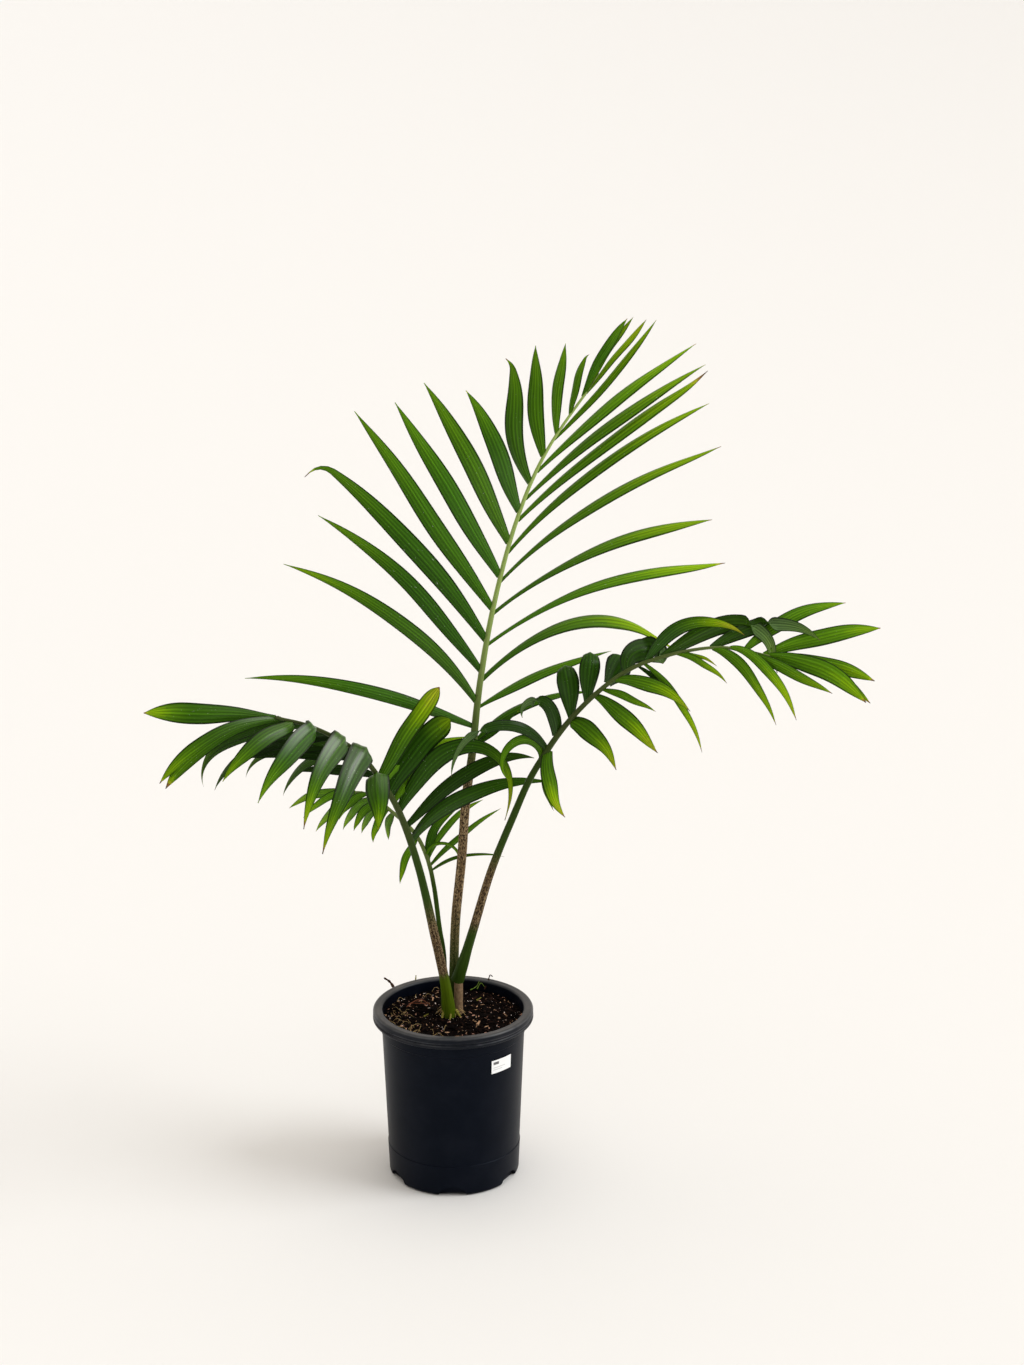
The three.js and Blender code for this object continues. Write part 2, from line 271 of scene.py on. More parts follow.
def makeCamera():
    data = bpy.data.cameras.new("camera")
    data.sensor_width = camera["sensor"]
    data.lens = camera["focalPixels"] / camera["imageHeight"] * camera["sensor"]
    data.clip_end = camera["reach"]
    eye = linked("camera", data)
    eye.location = camera["place"]
    eye.rotation_euler = (radians(90 - camera["pitch"]), 0, 0)
    bpy.context.scene.camera = eye


# An outline of (radius, height) points, from the axis or back to it, turned about Z
def turned(name, outline, segments):
    vertices = []
    faces = []
    rings = []
    for r, z in outline:
        count = segments if r > 1e-6 else 1
        rings.append(list(range(len(vertices), len(vertices) + count)))
        for i in range(count):
            a = 2 * pi * i / segments
            vertices.append((r * cos(a), r * sin(a), z))
    for low, high in zip(rings, rings[1:]):
        for i in range(segments):
            j = (i + 1) % segments
            corners = [low[i % len(low)], low[j % len(low)], high[j % len(high)], high[i % len(high)]]
            faces.append(list(dict.fromkeys(corners)))
    mesh = makeMesh(name, vertices, [], faces)
    mesh.validate()
    return mesh


# Pale floor that rises gently far out, so that no horizon shows
def makeFloor():
    run = studio["riseTo"] - studio["riseFrom"]
    shares = [i / studio["floorRings"] for i in range(studio["floorRings"], -1, -1)]
    rows = [(studio["riseFrom"] + run * share, studio["riseSlope"] * run * share * share) for share in shares]
    mesh = turned("floor", rows + [(0, 0)], studio["floorSides"])
    paint = {"Base Color": studio["floorColour"], "Roughness": 0.9, "Specular IOR Level": 0.1}
    linked("floor", dress(mesh, makeMaterial("paleFloor", lambda graph: paint), 180))


def makeLight():
    for name, lamp in lamps.items():
        data = bpy.data.lights.new(name, "SUN")
        data.energy = lamp["power"]
        data.angle = radians(lamp["angle"])
        linked(name, data).rotation_euler = Vector(lamp["place"]).to_track_quat("Z", "Y").to_euler()
    scene = bpy.context.scene
    scene.world = bpy.data.worlds.new("studio")
    scene.world.use_nodes = True
    tree = scene.world.node_tree
    graph = Graph(tree)
    behind = graph.part(graph.node("ShaderNodeTexCoord", out="Generated"), "Y").ramp(-0.8, 0.6)
    sky = graph.scaled(studio["skyColour"], studio["frontShare"] + behind)
    tree.links.new(sky.socket, tree.nodes["Background"].inputs["Color"])
    tree.nodes["Background"].inputs["Strength"].default_value = studio["skyPower"]
    scene.view_settings.view_transform = "Standard"


makeCamera()
makeFloor()
makeLight()
print("stage ready")


# Leaf tints, for a ripeness of 0 (deep green) to 5 (dry brown)
leafTints = [
    (0.03, 0.104, 0.004), (0.092, 0.222, 0.005), (0.235, 0.42, 0.004),
    (0.43, 0.48, 0.022), (0.33, 0.19, 0.05), (0.05, 0.026, 0.014),
]
leafFinish = dict(veins=17, veinDepth=0.00024, gloss=0.42, paleUnder=0.62, under=(0.105, 0.16, 0.075),
                  dust=(0.55, 0.6, 0.5))


# One band of ripeness, between two tints, is one material
def paintLeaf(band):
    def paint(graph):
        names = ("across", "along", "shade", "sheen", "side", "ripe")
        across, along, shade, sheen, side, ripe = (graph.attribute(name) for name in names)
        under = 1 - side.ramp(-0.4, 0.4)
        base = graph.mixed((ripe - float(band)).clamped(), leafTints[band], leafTints[band + 1])
        mottle = graph.grain(graph.joined(across * 9, along * 3, shade * 40), 1, 4, 0.6)
        veins = leafFinish["veins"]
        line = (across * veins + mottle * 1.6).sine() + (across * 3.1 * veins).sine() * 0.4
        keel = 1 - across.size().ramp(0.02, 0.1)
        margin = across.size().ramp(0.68, 0.97)
        light = 1.08 + (mottle - 0.5) * 1.1 + line * 0.24 + keel * 0.45 - margin * 0.7
        base = graph.mixed(under * leafFinish["paleUnder"], base, leafFinish["under"])
        # Random tone and painted shade from the shade attribute, with less of it on undersides
        base = graph.scaled(base, light * (shade + under * (1 - shade) * 0.8))
        dust = graph.grain(graph.joined(across * 16, along * 60, shade * 70), 1, 1).ramp(0.76, 0.79)
        return {
            "Base Color": graph.mixed(dust * 0.7, base, leafFinish["dust"]),
            "Roughness": leafFinish["gloss"] + under * 0.14 + (mottle - 0.5) * 0.16,
            "Specular IOR Level": 0.035,
            "Coat Weight": (sheen * (0.6 + mottle * 0.8) * (1 - under)).clamped(),
            "Coat Roughness": 0.28,
            "bump": (line * 0.5 + mottle * 0.25 - keel * 1.2, leafFinish["veinDepth"]),
        }
    return paint


leafMaterials = [makeMaterial(f"leaf{band}", paintLeaf(band)) for band in range(len(leafTints) - 1)]


# Green stalk with brown scurf and a pale rachis, where its attributes say
def paintStalk(graph):
    ring = graph.attribute("ring", "Vector")
    reach = graph.attribute("reach")
    lit = graph.attribute("lit")
    streak = graph.barkGrain(ring, 5, reach, 14, 3, 0.6)
    speck = graph.barkGrain(ring, 4, reach, 320, 3, 0.65)
    scurf = graph.attribute("scurf")
    scurf = (scurf * 1.25 + (speck - 0.5) * 1.1 * scurf).clamped()
    green = graph.mixed(graph.attribute("fresh"), (0.026, 0.056, 0.006), (0.062, 0.104, 0.003))
    green = graph.mixed(graph.attribute("pale"), green, graph.scaled((0.31, 0.43, 0.12), lit))
    green = graph.scaled(green, 0.45 + streak * 1.1)
    tan = graph.mixed(streak.ramp(0.42, 0.62), (0.17, 0.108, 0.052), (0.42, 0.31, 0.17))
    brown = graph.mixed(speck.ramp(0.44, 0.58), tan, (0.024, 0.015, 0.009))
    brown = graph.scaled(brown, 0.5 + lit * 1.3)
    return {
        "Base Color": graph.mixed(scurf, green, brown),
        "Roughness": 0.42 + scurf * 0.35,
        "Specular IOR Level": 0.05,
        "bump": (streak * 0.5 + speck * scurf * 1.2, 0.0005),
    }


stalkMaterial = makeMaterial("stalkBark", paintStalk)


# The pot as the solids have it, turned finer; edges are the heights of its painted highlight lines
pot = dict(
    height=0.23, wall=0.0025, foot=0.086, shoulder=0.0945, shoulderHeight=0.214, lip=0.105, floor=0.004,
    floorRadius=0.07, corner=0.018, ringStep=0.0007, upperRing=0.198, lowerRing=0.042, segments=160,
    notches=6, notchWidth=0.038, notchTop=0.026, notchHeight=0.0132, notchDepth=0.008, notchSteps=16,
    edges=[0.0016, 0.2192, 0.2226, 0.2284])


# Moulded plastic: dust, partly a painted sheen on lip and rim, faint scuffs, and painted edge highlights
def paintPot(graph):
    place = graph.place()
    x, y, height = (graph.part(place, axis) for axis in "XYZ")
    outside = (x * x + y * y).ramp(0.0086, 0.0092).atLeast(1 - height.ramp(0.15, 0.2))
    fine = graph.grain(place, 900, 2)
    cloud = graph.grain(place, 22, 4, 0.6)
    scratch = graph.grain(graph.vector("MULTIPLY", place, (60, 60, 700)), 1, 3, 0.7)
    lip = height.ramp(0.2135, 0.2155) * outside
    topEdge = height.ramp(0.2262, 0.2292)
    scuff = (lip * 0.25 + topEdge * 0.45) * scratch.ramp(0.45, 0.75)
    # Dust all over, heavier on the lip and rim top, where the extra is partly a painted sheen
    dust = (topEdge * 0.3 + lip * 0.1 + 0.04) * cloud.ramp(0.4, 0.7)
    body = graph.mixed(cloud.ramp(0.3, 0.7), (0.0006, 0.0014, 0.0048), (0.0012, 0.0024, 0.007))
    # Lighter rim top: a painted highlight
    body = graph.mixed(topEdge * 0.8, body, (0.03, 0.033, 0.038))
    # Painted highlights: thin light lines on the outside at the heights of pot edges
    edgeHighlights = sum(1 - (height - edge).size().ramp(0.0002, 0.001) for edge in pot["edges"])
    body = graph.mixed((edgeHighlights * outside * cloud.ramp(0.35, 0.55) * 0.5).clamped(), body, (0.075, 0.08, 0.088))
    body = graph.mixed((scuff * 0.45).clamped(), body, (0.1, 0.098, 0.092))
    return {
        "Base Color": graph.mixed((dust * 0.25).clamped(), body, (0.16, 0.145, 0.125)),
        "Roughness": 0.36 + cloud * 0.12 + scuff * 0.2,
        "Specular IOR Level": 0.09,
        "Specular Tint": (0.66, 0.8, 1),
        "Coat Weight": (lip * 0.15 + topEdge * 0.35) * (0.5 + cloud),
        "Coat Roughness": 0.4,
        "bump": (fine * 0.5 + scratch * 0.6, 0.00012),
    }


potMaterial = makeMaterial("pottingPlastic", paintPot)


# Plain white sticker with a few generic bars
def paintLabel(graph):
    x = graph.attribute("across")
    y = graph.attribute("up")
    fibre = graph.grain(graph.place(), 1500, 3)

    def bar(left, right, low, high):
        return x.above(left) * x.below(right) * y.above(low) * y.below(high)

    dark = bar(0.08, 0.34, 0.66, 0.86)
    rule = bar(0.08, 0.66, 0.4, 0.46) + bar(0.08, 0.52, 0.24, 0.3)
    paper = graph.scaled((0.92, 0.94, 0.96), 0.96 + fibre * 0.08)
    paper = graph.mixed(rule * 0.45, paper, (0.25, 0.26, 0.27))
    return {
        "Base Color": graph.mixed(dark * 0.9, paper, (0.02, 0.02, 0.022)),
        "Roughness": 0.42 + fibre * 0.1,
        "bump": (fibre, 0.00003),
    }


labelMaterial = makeMaterial("paperLabel", paintLabel)


# Earthy or woody crumbs, whose colour wanders a little
def paintCrumb(base, spread, rough):
    def paint(graph):
        place = graph.place()
        wander = graph.grain(place, 260, 2)
        fine = graph.grain(place, 1400, 3, 0.7)
        return {
            "Base Color": graph.scaled(base, 1 + (wander - 0.5) * spread + (fine - 0.5) * 0.6),
            "Roughness": rough,
            "Specular IOR Level": 0.04,
            "bump": (fine, 0.0004),
        }
    return paint


crumbLooks = dict(
    darkMix=((0.0028, 0.0016, 0.0014), 1.4, 0.9),
    brownMix=((0.0155, 0.007, 0.0046), 1.8, 0.9),
    tanBark=((0.45, 0.275, 0.165), 1.8, 0.8),
    pinkBark=((0.43, 0.235, 0.175), 1.6, 0.8),
    paleGrit=((0.9, 0.79, 0.74), 0.8, 0.7),
    driedStub=((0.23, 0.155, 0.09), 1.6, 0.8),
    rootFibre=((0.42, 0.3, 0.14), 1, 0.8),
    redFibre=((0.23, 0.085, 0.05), 1, 0.8),
    greenSprout=((0.16, 0.26, 0.04), 1, 0.6),
    youngScale=((0.24, 0.22, 0.045), 1.2, 0.6),
    darkTwig=((0.045, 0.022, 0.013), 1, 0.8),
)
crumbMaterials = {name: makeMaterial(name, paintCrumb(*look)) for name, look in crumbLooks.items()}
print("materials ready")


# Each stalk runs from its foot to its frond's tip, as the solids' does, in millimetres. radius and lit, how
# bright it is: foot to tip. petiole: share of it below the leaflets. scurf: heights where the brown rises, is
# full, fades and has gone. sheath: height up to which it is a fresh green sheath.
stalks = dict(
    main=dict(
        path=[[-1, 14, 220], [1, 13, 280], [4, 7, 350], [12, 6, 430], [18, 8, 510], [26, 12, 570],
              [37, 24, 666], [55, 40, 764], [83, 58, 865], [121, 78, 950], [187, 108, 1042]],
        radius=[6, 6.1, 6, 5.9, 4.3, 3.1, 2.4, 1.4], petiole=0.505, scurf=[240, 430, 500, 600], sheath=0,
        lit=[0.4, 0.4, 0.4, 0.42, 0.5, 0.86, 1, 1], nodes=["frond_main"]),
    right=dict(
        path=[[6, 5, 265], [15, -5, 298], [27, -14, 342], [50, -27, 426], [77, -43, 502], [105, -58, 571],
              [150, -78, 645], [205, -98, 703], [257, -115, 732], [324, -135, 749], [388, -150, 741]],
        radius=[8.6, 7.9, 6.3, 5.7, 5.2, 4.8, 4.5, 4.1, 3.6, 3, 2.6, 2.3, 2, 1.7, 1.3], petiole=0.505,
        scurf=[335, 365, 405, 470], sheath=0, lit=[0.2, 0.2, 0.2, 0.16, 0.28, 0.5],
        nodes=["frond_right_inner", "frond_right_outer"]),
    left=dict(
        path=[[-5, -7, 220], [-10, -14, 270], [-23, -27, 343], [-40, -46, 435], [-59, -70, 510],
              [-79, -95, 562], [-110, -125, 616], [-157, -162, 657], [-200, -195, 680]],
        radius=[9.8, 7.8, 6.2, 6, 5.6, 5, 4.6, 4.4, 3.8, 3.4, 3, 2.7, 2.4, 2.1, 1.8], petiole=0.42,
        scurf=[276, 290, 335, 400], sheath=285, lit=[0.15, 0.15],
        nodes=["frond_left_inner", "frond_left_outer"]),
    small=dict(
        path=[[-13, 9, 220], [-12, 14, 290], [-18, 24, 331], [-25, 38, 382], [-34, 50, 417], [-50, 66, 445],
              [-81, 90, 467], [-115, 114, 484], [-152, 136, 479]],
        radius=[3.6, 3.2, 2.8, 2.4, 1.4], petiole=0.42, scurf=[200, 210, 220, 230], sheath=0, lit=[0.4, 0.4],
        nodes=["frond_small"]),
)

# Ranks of leaflets by the solids' rule: one value for a rank, a list of them from its lowest leaflet up, or a
# dictionary of those that aren't the usual one, in degrees and in the units below.
# at: place on the stalk. angle: heading at the root in the front view, 0 right and 90 up. depth: heading
# away. turn, depthTurn: what both gain by the tip, as share ** ease. crest: what depth lacks up to crestTo,
# which folds the leaflet over. hook: what angle gains from hookFrom on. roll: how far the blade is turned
# from facing the viewer. flip: what roll gains. sway: swing to both sides. start, widest, flare, taper: its
# outline. fold: how far the margins fall back. tone: ripeness, and late: what it gains from lateFrom on.
# tipFrom: dry from there on. dim: painted shade, how much darker the leaflet is painted. sheen: how glossy.
usual = dict(depthTurn=0, ease=1, crest=0, crestFrom=34, crestTo=72, hook=0, hookFrom=80, flip=0, flipFrom=42,
             flipTo=68, sway=0, start=35, widest=42, flare=10, taper=20, fold=42, tone=0, late=10,
             lateFrom=50, tipFrom=95, paintedShade=0, sheen=0)
mainLeft = dict(
    at=[54, 57, 61, 65, 69, 73, 77, 81, 85, 89, 92, 94.5, 97, 97.2],
    angle=[147, 118, 118, 118, 119.5, 116, 110, 104, 109, 102, 94, 85, 70, 68],
    turn=[26, 38, 24, 20, 2, 3, 10, 15, -22, -16, -18, -20, -17, -19],
    depth=[-24] * 8 + [-20, -18, -15, -10, -6, -2], hook={3: 85, 8: 40, 11: -35}, hookFrom=88,
    roll=[12] * 5 + [16, 12, 12, -14, -8, -20, -30, 10, -30], sway=[2, 0, 2, 1, 1, 0, 1, 2, 4, 1, 1, 0, 0, 0],
    length=[322, 345, 327, 367, 345, 293, 262, 194, 181, 154, 124, 86, 114, 116],
    width=[17, 19, 20, 24, 23, 24, 24, 23, 23, 21, 15, 11, 12, 9], widest=[42] * 8 + [50, 42, 50, 50, 62, 66],
    fold=[30, 30, 30, 30, 34, 34, 30, 30, 42, 42, 60, 60, 50, 50],
    tone=[2, 3, 1, 1, 2, 1, 4, 1, 4, 5, 6, 5, 2, 9], late=[9, 15, 13, 8, 8, 8, 8, 10, 8, 7, 7, 9, 8, 10],
    tipFrom=[97.5, 97.5, 97.5, 93, 97, 97.5, 97.5, 96, 95, 97.5, 97.5, 95, 94, 97],
    sheen=[25, 25, 15, 10, 8, 16, 20, 30, 15, 0, 0, 0, 0, 0])
mainRight = dict(
    at=[51.2, 52, 56.5, 60, 64.5, 68.5, 72.5, 76, 80, 83, 87, 91.5, 97.5],
    angle=[41, 45, 29, 40, 33, 36, 43, 47, 42, 43, 44, 45, 53],
    turn=[-10, -59, -24, -105, -41, -36, -33, -29, -17, -20, -16, 6, -6], depth=[16] + [24] * 9 + [20, 14, 8],
    ease={3: 1.5}, hook={3: 22, 4: 8, 6: 5, 8: 10},
    roll=[-52, -52, -52, -44, -46, -48, -54, -54, -54, -56, -56, -56, -50],
    length=[75, 188, 200, 324, 360, 337, 360, 345, 330, 308, 271, 200, 119],
    width=[12, 17, 17, 25, 19, 20, 20, 22, 23, 21, 20, 14.5, 11.5], start=28,
    widest=[42, 42, 42, 64, 70, 68, 62, 60, 58, 55, 50, 60, 68],
    flare=[10, 10, 14, 20, 24, 22, 18, 16, 14, 13, 12, 10, 10], taper={3: 13},
    tone=[0, 1, 2, 2, 3, 3, 4, 4, 5, 5, 6, 9, 14], late=[2, 6, 6, 24, 18, 18, 17, 16, 15, 13, 12, 10, 12],
    lateFrom=20, tipFrom=[95, 97, 97, 98.5, 94, 96, 96, 97, 87, 97, 96, 97, 97],
    paintedShade=[40, 30, 20, 10, 6, 6, 5, 5, 5, 4, 0, 0, 0], sheen=[0, 0, 5, 10, 8, 8, 8, 5, 5, 5, 5, 0, 0])
rightFar = dict(
    at=[52, 54, 56.5, 60, 63.5, 68, 72.5, 76.5, 80, 88.5, 94.5, 98],
    angle=[67, 122, 94, 97, 85, 50, 116, 63, 34.6, 30, 40, 19],
    turn=[251, 150, 200, 0, 0, 0, -203, -102.7, -206.8, -69.5, -42, -18],
    depth=[-15, -14, -10, 110, 110, 115, 20, -10, 0, 12, 24, 12],
    depthTurn=[-10, -10, -15, 0, 0, 0, 10, 0, -70, -45, 0, 0],
    ease=[0.9, 1.19, 2.18, 1, 1, 1, 0.74, 1.32, 2.743, 1.7, 1, 1], crest={3: 92, 4: 88, 5: 78}, hook={8: 85},
    roll=[40, 35, 15, 0, -3, -5, 20, -20, -15, -14, -8, -14], flip={1: 190, 2: 216, 6: 225, 8: 168, 9: 180},
    flipFrom=[62, 50, 55, 62, 62, 62, 50, 60, 52, 42, 60, 60],
    flipTo=[86, 70, 75, 86, 86, 86, 74, 80, 68, 62, 80, 80],
    length=[113, 173, 94, 118, 112, 84, 80, 143, 193, 141, 150, 148],
    width=[13, 14, 17, 28, 26, 35, 31, 17, 22, 19, 17, 20],
    start=[40, 50, 70, 30, 30, 30, 40, 35, 35, 35, 35, 30],
    widest=[30, 30, 30, 40, 40, 40, 50, 38, 40, 42, 42, 50], flare={3: 13, 4: 13, 5: 13},
    taper=[20, 20, 20, 12, 12, 12, 25, 18, 18, 20, 20, 25],
    fold=[28, 28, 22, 45, 45, 45, 30, 28, 30, 30, 28, 28], tone=[6, 1] + [0] * 6 + [2, 3, 8, 9],
    late=[9, 10, 6, 4, 4, 4, 6, 33, 22, 16, 9, 10], lateFrom={7: 30}, tipFrom={7: 99},
    paintedShade=[25, 55, 62, 36, 36, 36, 45, 20, 50, 38, 8, 0], sheen=[15, 30, 30, 25, 25, 25, 35, 20, 30, 20, 0, 0])
rightNear = dict(
    at=[54, 53, 59.5, 65, 66.5, 69, 74.5, 76, 82.5, 82.5, 88.5, 91.5, 94.5, 98.5, 98.7, 99.5],
    angle=[258, 262, 358, 360, 357, 382, 331, 329, 364, 373, 408, 433, 344, 365, 363, 361],
    turn=[56, 36, -63, -44, -19, -63, -10, -44, -48, -46, -117, -143, -5, -50, -46, -23],
    depth=[-45, -30, -50, -45, -40, -45, -30, -38, -45, -30, -42, -40, -38, -30, -28, -14],
    depthTurn=[10, 10, 15, 10, 5, 5, 5, 5, 0, 0, 10, 5, 0, 5, 5, 0],
    ease={2: 0.8, 3: 0.25, 10: 0.25, 11: 0.25},
    roll=[14, 6, -26, -26, -14, -30, 0, -10, -24, -20, -60, -76, -12, -20, -18, -15],
    length=[96, 72, 98, 114, 82, 126, 74, 138, 87, 57, 131, 133, 126, 136, 138, 124],
    width=[19, 8, 24, 21, 10, 18, 6, 9, 8, 5, 14, 13, 13, 22, 16, 18],
    start=[60, 50, 60, 30, 30, 35] + [40] * 5 + [35, 35, 30, 30, 30],
    widest=[45, 40, 30, 45, 40, 45, 30, 40, 40, 40, 32, 40, 45, 50, 50, 60],
    taper=[15, 15, 15, 17, 17, 16, 20, 20, 20, 20, 15, 17, 20, 24, 24, 20],
    tone=[4, 5, 4, 3, 6, 7, 0, 6, 10, 9, 6, 8, 6, 6, 6, 7],
    late=[25, 16, 23, 24, 10, 20, 3, 20, 16, 22, 16, 18, 12, 12, 12, 10], lateFrom=20, tipFrom=92,
    paintedShade=[12, 30, 24, 24, 15, 8, 60, 10, 0, 0, 14, 6, 4, 8, 12, 8])
leftNear = dict(
    at=[66, 74.5, 81, 88.5, 94.5, 98.5, 98, 99.8], angle=[283, 226, 212, 198, 178, 172, 173, 170],
    turn=[-14, 30, 50, 46, 60, 59, 63, 7], depth=[-60] * 4 + [-50, -35, -35, -15],
    depthTurn=[30, 30, 30, 30, 20, 10, 10, 0], crest=[100, 100, 90, 70, 40, 0, 0, 0], crestFrom=0, crestTo=24,
    roll=[180] * 4 + [-45, 20, 20, 14], length=[91, 180, 158, 146, 130, 170, 169, 154],
    width=[31, 34, 31, 29, 21, 18, 16, 25], start=[75, 80, 75, 70, 60, 35, 35, 22],
    widest=[40, 22, 24, 36, 45, 66, 70, 66], flare={7: 13}, taper=[15, 13, 14, 15, 16, 18, 24, 22],
    fold=[30, 28, 28, 30, 30, 28, 24, 28], tone=[2, 2, 1, 1, 3, 2, 2, 2],
    late=[20, 24, 24, 16, 16, 16, 10, 21], lateFrom={7: 62}, tipFrom=[97, 91, 90, 98, 97, 94, 88, 96.5],
    paintedShade=[34, 34, 34, 30, 30, 24, 42, 18], sheen=[80, 120, 100, 80, 50, 45, 15, 35])
leftFar = dict(
    at=[66, 70, 75, 79, 84, 90, 93, 96, 72, 77, 82],
    angle=[176, 154, 188, 195, 196, 200, 197, 187, 178, 184, 190],
    turn=[30, 101, 22, 63, 53, 79, 73, 46, 20, 22, 24], depth=[38, 40, 36, 38, 38, 36, 30, 30, 26, 28, 30],
    ease=[1, 0.67, 2, 2.63, 1.4, 2.72, 2.27, 1.5, 1, 1, 1],
    roll=[20, -10, 25, 20, 10, 10, 12, 20, 40, 40, 40],
    length=[140, 216, 164, 216, 268, 260, 208, 165, 170, 160, 150],
    width=[14, 13, 13, 12, 14, 13, 12, 10, 13, 13, 13], fold=30, tone={1: 3, 3: 2, 5: 1, 6: 1},
    late=[5, 9, 3, 14, 8, 16, 14, 2, 2, 2, 2], lateFrom=55, tipFrom=94,
    paintedShade=[75, 55, 80, 55, 68, 60, 60, 72, 82, 82, 82])
leftUpper = dict(
    at=[44, 44.5, 48, 53, 60, 62.5, 56.5, 65], angle=[62, 86, 42, 68.6, 64, 108, 58, 60],
    turn=[-74, -88, -62, -21, -33, -112, -47, -10], depth=[20, 24, 18, 12, 22, 36, 34, 24],
    depthTurn={3: -10}, ease=[0.68, 0.3, 2.4, 0.26, 1, 0.3, 1, 1], hook={3: -154}, hookFrom=17,
    roll=[4, 20, 0, 4, 4, 30, 6, 0], length=[210, 192, 195, 253, 121, 142, 80, 137],
    width=[21, 6, 20, 25, 30, 12, 11, 22], start=[30, 40, 30, 35, 50, 40, 50, 50],
    widest=[40, 40, 50, 36, 62, 40, 40, 55], taper={0: 16, 3: 9, 4: 80, 7: 70},
    fold=[20, 20, 20, 24, 20, 24, 24, 30], tone={5: 11, 6: 11, 7: 3}, late=[3, 2, 4, 32, 19, 8, 6, 24],
    lateFrom=[60, 60, 60, 50, 62, 30, 30, 25], tipFrom=[97.5, 97, 97, 98, 98, 97, 97, 96.5],
    paintedShade=[50, 60, 64, 50, 54, 15, 15, 26], sheen=[30, 60, 10, 10, 10, 10, 0, 10])
smallRight = dict(
    at=[43.7, 45.9, 47.9, 48.8, 50.5, 60.7], angle=[42, 43, 97, 68, 85, 228],
    turn=[-50, -20, -75, -53, -190, 38], depth=[-14, 28, 20, 32, -5, -30], roll=30,
    length=[107, 126, 86, 117, 70, 67], width=[9, 11, 14, 11, 9, 11], fold=25, tone=[5, 6, 2, 6, 9, 8],
    lateFrom=40, paintedShade=[25, 20, 40, 20, 10, 10])
smallLeft = dict(
    at=[74.5, 77, 79.5, 81.5, 84.5, 87.5, 90, 93, 95.5], angle=[241, 211, 219, 186, 217, 175, 216, 160, 190],
    turn=[38, 61, 45, 69, 40, 75, 31, 65, 42], depth=[42, -42, 42, -42, 42, -42, 42, -42, 42], roll=20,
    length=[78, 55, 100, 60, 121, 60, 160, 94, 150], width=[12, 11, 12, 12, 12, 12, 13, 12, 12], fold=25,
    tone=8, late=12, lateFrom=35, paintedShade=[15, 20, 15, 20, 15, 20, 15, 20, 15])
ranks = dict(main=[mainLeft, mainRight], right=[rightFar, rightNear], left=[leftNear, leftFar, leftUpper],
             small=[smallRight, smallLeft])
units = dict(length=1000, width=1000, sway=1000, tone=10, late=10, flare=10, taper=10)
for key in ("at", "start", "widest", "fold", "paintedShade", "sheen", "lateFrom", "tipFrom", "hookFrom", "crestFrom",
            "crestTo", "flipFrom", "flipTo"):
    units[key] = 100
blade = dict(steps=48, tip=0.04, waves=0.0008, twist=5, dry=4.9, toneSpread=0.12, shadeSpread=0.16)
bladeSizes = dict(sides=16, thickness=0.035, rib=0.05, margin=0.8)
leafDice = random.Random(7)
stalkSteps = 150


# A rank's value for one of its leaflets
def rankValue(rank, key, i):
    row = rank.get(key, usual.get(key))
    if isinstance(row, list):
        row = row[i]
    elif isinstance(row, dict):
        row = row.get(i, usual[key])
    return row / units.get(key, 1)


# Values of an evenly spaced row, at shares of its length
def alongRow(row, shares):
    return np.interp(shares, np.arange(len(row)) / (len(row) - 1), row)


# A point of the smooth curve through a path's points, at a share of it
def curvePoint(path, share):
    points = np.array(path)
    last = len(points) - 1
    place = min(max(share, 0), 1) * last
    i = min(int(place), last - 1)
    w = place - i
    b, c = points[i], points[i + 1]
    a = points[i - 1] if i > 0 else 2 * b - c
    d = points[i + 2] if i + 2 <= last else 2 * c - b
    rise, fall = (c - a) / 2, (d - b) / 2
    return (2 * b - 2 * c + rise + fall) * w**3 + (3 * c - 3 * b - 2 * rise - fall) * w**2 + rise * w + b


def smooth(low, high, value):
    share = np.clip((value - low) / (high - low), 0.0, 1.0)
    return share * share * (3 - 2 * share)


def unit(vector):
    return vector / np.linalg.norm(vector)


# Share of a leaflet's width at a share of its length
def bladeShare(share, leaf):
    if share < leaf["widest"]:
        rise = sin(share / leaf["widest"] * pi / 2) ** leaf["flare"]
        return leaf["start"] + (1 - leaf["start"]) * rise
    rest = (share - leaf["widest"]) / (1 - leaf["widest"])
    return max(blade["tip"], 1 - rest ** leaf["taper"])


# A leaflet's heading at a share of its length
def leafHeading(leaf, share):
    gained = share ** leaf["ease"]
    lacking = 1 - smooth(leaf["crestFrom"], leaf["crestTo"], share)
    hooked = smooth(leaf["hookFrom"], 1, share)
    a = radians(leaf["angle"] + leaf["turn"] * gained + leaf["hook"] * hooked)
    d = radians(leaf["depth"] + leaf["depthTurn"] * gained - leaf["crest"] * lacking)
    return np.array([cos(a) * cos(d), sin(d), sin(a) * cos(d)])


def ripeness(share, tone, leaf):
    ripe = tone + leaf["late"] * smooth(leaf["lateFrom"], 1, share)
    return ripe + (blade["dry"] - ripe) * smooth(leaf["tipFrom"], 1, share)


